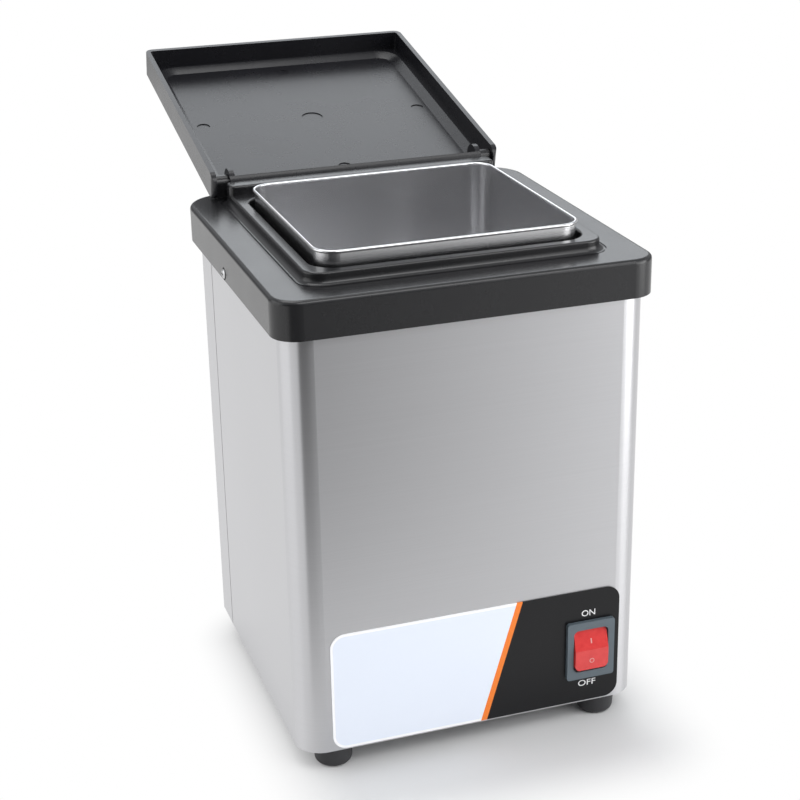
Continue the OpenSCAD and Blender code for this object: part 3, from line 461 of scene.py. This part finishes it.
def gloss_level(tree, place):
    """How bright gloss sees the table: less far away, and less in front, mostly to the left."""
    across_left_edge = (0.695, -0.719, 0.0)
    across_right_edge = (0.906, 0.423, 0.0)
    away = tree.vector("LENGTH", place)
    heading = tree.vector("NORMALIZE", place)
    past_left = tree.ramp(tree.vector("DOT_PRODUCT", heading, across_left_edge),
                          span=(-0.08, 0.10), levels=(0.0, 1.0))
    before_right = tree.ramp(tree.vector("DOT_PRODUCT", heading, across_right_edge),
                             span=(-0.60, 0.26), levels=(1.0, 0.0))
    sector = tree.math("MULTIPLY", past_left, before_right)
    shading = tree.ramp(away, span=(0.15, 0.60), levels=(0.0, 0.90))
    distant = tree.ramp(away, span=(1.6, 2.6), levels=(1.0, 0.35))
    kept = tree.math("SUBTRACT", 1.0, tree.math("MULTIPLY", sector, shading))
    return tree.math("MULTIPLY", distant, kept)


def past_shadow(tree, place):
    """Distance from the patch of table, under the housing and in front, that keeps its shadow."""
    patch_middle = (0.005, -0.030, 0.0)
    patch_half = (0.075, 0.091, 0.0)
    off_middle = tree.vector("ABSOLUTE", tree.vector("SUBTRACT", place, patch_middle))
    outside = tree.vector("SUBTRACT", off_middle, patch_half)
    return tree.vector("LENGTH", tree.vector("MAXIMUM", outside, (0.0, 0.0, 0.0)))


def floor_white():
    """White to camera rays, at gloss_level to gloss and transmission, matte to the rest."""
    shadow_white = 0.66
    fade = 55 * MM
    material = bpy.data.materials.new("floor_white")
    tree = bare_tree(material)
    place = tree.node("ShaderNodeTexCoord").outputs["Object"]
    path = tree.node("ShaderNodeLightPath").outputs
    level = tree.math("MAXIMUM", gloss_level(tree, place), path["Is Camera Ray"])
    gray = tree.math("MULTIPLY", shadow_white, level)
    shade = tree.node("ShaderNodeBsdfDiffuse", {"Color": gray}).outputs["BSDF"]
    glow = tree.node("ShaderNodeEmission", {"Strength": level}).outputs["Emission"]
    unshaded = tree.ramp(past_shadow(tree, place), span=(0.0, fade), levels=(0.0, 1.0))
    shown = tree.mix_shaders(unshaded, shade, glow)
    matte = tree.node("ShaderNodeBsdfDiffuse", {"Color": (0.80, 0.80, 0.81)}).outputs["BSDF"]
    direct = tree.math("MAXIMUM", path["Is Camera Ray"], path["Is Glossy Ray"])
    direct = tree.math("MAXIMUM", direct, path["Is Transmission Ray"])
    table = tree.mix_shaders(direct, matte, shown)

    # Clear from below, so that it doesn't hide the underside
    below = tree.node("ShaderNodeNewGeometry").outputs["Backfacing"]
    nothing = tree.node("ShaderNodeBsdfTransparent").outputs["BSDF"]
    tree.node("ShaderNodeOutputMaterial", {"Surface": tree.mix_shaders(below, table, nothing)})
    return material


def floor():
    """The table that the object stands on."""
    reach = 9.0
    corners = [(-reach, -reach, 0), (reach, -reach, 0), (reach, reach, 0), (-reach, reach, 0)]
    mesh = bpy.data.meshes.new("floor")
    mesh.from_pydata(corners, [], [(0, 1, 2, 3)])
    mesh.materials.append(floor_white())
    plane = bpy.data.objects.new("floor", mesh)
    bpy.context.scene.collection.objects.link(plane)


def softbox(name, place, aim, size, radiance, color=(1, 1, 1)):
    """Lamp panel of the given width and height; radiance 1 shows as white in a mirror."""
    width, height = size
    data = bpy.data.lights.new(name, "AREA")
    data.shape = "RECTANGLE"
    data.size = width
    data.size_y = height
    data.energy = radiance * math.pi * width * height
    data.color = color
    lamp = bpy.data.objects.new(name, data)
    lamp.location = place
    lamp.visible_camera = False
    lamp.rotation_euler = (Vector(aim) - Vector(place)).to_track_quat("-Z", "Y").to_euler()
    bpy.context.scene.collection.objects.link(lamp)


def lights():
    softbox("top_box", place=(-0.25, 0.30, 1.75), aim=(0.0, 0.0, 0.2), size=(1.2, 1.0), radiance=2.6)
    softbox("rear_box", place=(0.54, 1.42, 1.15), aim=(0.0, 0.0, 0.27), size=(1.1, 1.1), radiance=1.5,
            color=(0.92, 0.96, 1.0))
    softbox("left_box", place=(-1.48, 0.26, 0.60), aim=(0.0, 0.0, 0.15), size=(1.4, 1.2), radiance=1.1)
    softbox("right_box", place=(1.18, -0.92, 0.66), aim=(0.0, 0.0, 0.15), size=(1.5, 1.2), radiance=1.9)
    softbox("right_strip", place=(0.68, -0.50, 0.27), aim=(0.08, -0.08, 0.2), size=(0.42, 0.52),
            radiance=2.4)
    softbox("key_box", place=(0.30, -0.90, 1.45), aim=(0.0, 0.0, 0.1), size=(0.9, 0.6), radiance=3.4)


def sky():
    """White to camera and transmission, dimmer to the rest, most at front left and horizon."""
    front_left = (-0.42, -0.907, 0.0)
    horizon_z = 0.05
    brightest = 0.62
    world = bpy.data.worlds.new("studio")
    bpy.context.scene.world = world
    tree = bare_tree(world)
    toward = tree.node("ShaderNodeTexCoord").outputs["Generated"]
    room = tree.ramp(tree.vector("DOT_PRODUCT", toward, front_left),
                     span=(0.70, 0.88), levels=(1.0, 0.12))
    off_horizon = tree.math("ABSOLUTE", tree.math("SUBTRACT", tree.split(toward)["Z"], horizon_z))
    horizon = tree.ramp(off_horizon, span=(0.10, 0.22), levels=(0.45, 1.0))
    strength = tree.math("MULTIPLY", tree.math("MULTIPLY", room, horizon), brightest)
    soft = tree.node("ShaderNodeBackground", {"Color": (0.95, 0.97, 1.0), "Strength": strength})
    white = tree.node("ShaderNodeBackground", {"Color": (1.0, 1.0, 1.0)})
    path = tree.node("ShaderNodeLightPath").outputs
    direct = tree.math("MAXIMUM", path["Is Camera Ray"], path["Is Transmission Ray"])
    seen = tree.mix_shaders(direct, soft.outputs["Background"], white.outputs["Background"])
    tree.node("ShaderNodeOutputWorld", {"Surface": seen})


def camera():
    """The photograph's view: place in metres, and the tilt of the picture."""
    place = Vector((-0.2956, -0.8645, 0.5371))
    forward = Vector((0.2918, 0.8806, -0.3735)).normalized()
    roll = math.radians(-1.08)
    focal_px = 1753.98
    picture_px = 800
    right = forward.cross(Vector((0, 0, 1))).normalized()
    up = right.cross(forward)
    tilted_right = math.cos(roll) * right + math.sin(roll) * up
    tilted_up = math.cos(roll) * up - math.sin(roll) * right
    data = bpy.data.cameras.new("camera")
    data.sensor_width = 36.0
    data.sensor_fit = "HORIZONTAL"
    data.lens = data.sensor_width * focal_px / picture_px
    cam = bpy.data.objects.new("camera", data)
    turned = Matrix((tilted_right, tilted_up, -forward)).transposed().to_4x4()
    cam.matrix_world = Matrix.Translation(place) @ turned
    bpy.context.scene.collection.objects.link(cam)
    bpy.context.scene.camera = cam


camera()
apply_materials()
rocker_marks(mark_pink())
switch_words(ink_white())
floor()
lights()
sky()
bpy.context.scene.view_settings.view_transform = "Standard"
